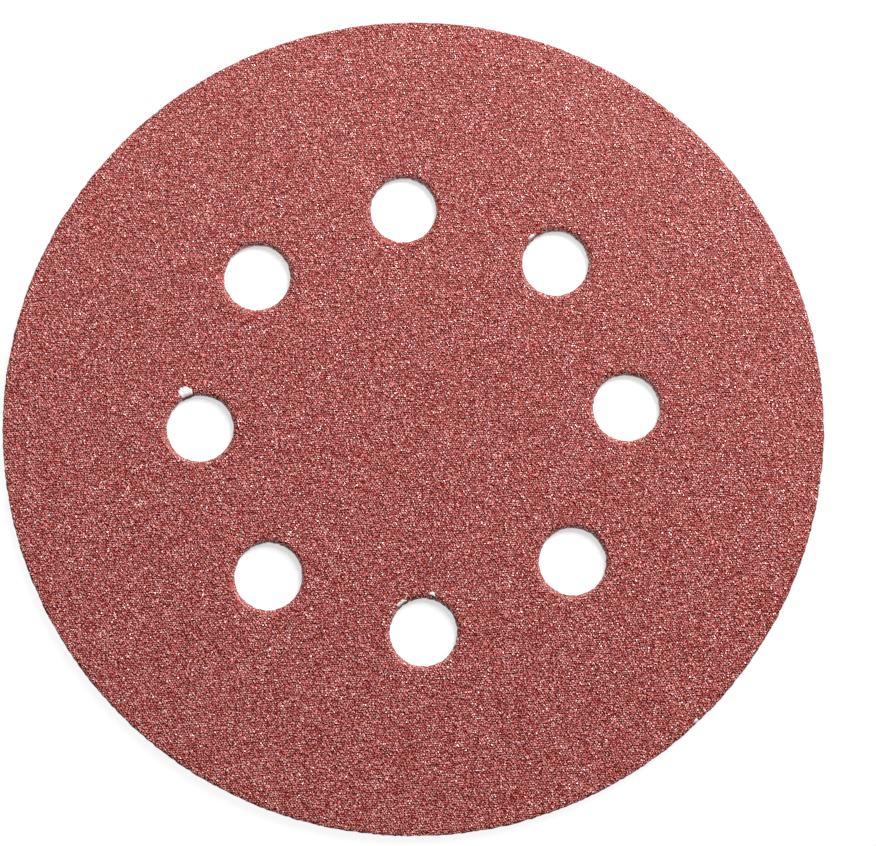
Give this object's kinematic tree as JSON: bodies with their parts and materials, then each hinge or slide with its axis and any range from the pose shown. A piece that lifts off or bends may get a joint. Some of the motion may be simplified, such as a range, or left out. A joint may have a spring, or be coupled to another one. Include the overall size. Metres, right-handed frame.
{
  "type": "perforated sanding disc",
  "caption": "Round perforated sanding disc: red abrasive coat on backing paper, loop fabric back for a hook-faced pad, and a ring of dust holes.",
  "frame": {"origin": "centre of the back (loop) face, which the disc lies on", "axes": "+Z out of the abrasive face, +X through the centre of a dust hole"},
  "size_m": [0.125, 0.125, 0.0016],
  "materials": {
    "red_abrasive": "sharp grain of about 0.3 mm in red resin, with a fine sparkle",
    "white_paper": "matt, fibrous where it is cut or torn",
    "loop_pile": "brushed knitted loops"
  },
  "bodies": {
    "root": {"abrasive_coat": "red_abrasive", "backing_paper": "white_paper", "loop_fabric": "loop_pile"}
  },
  "joints": []
}
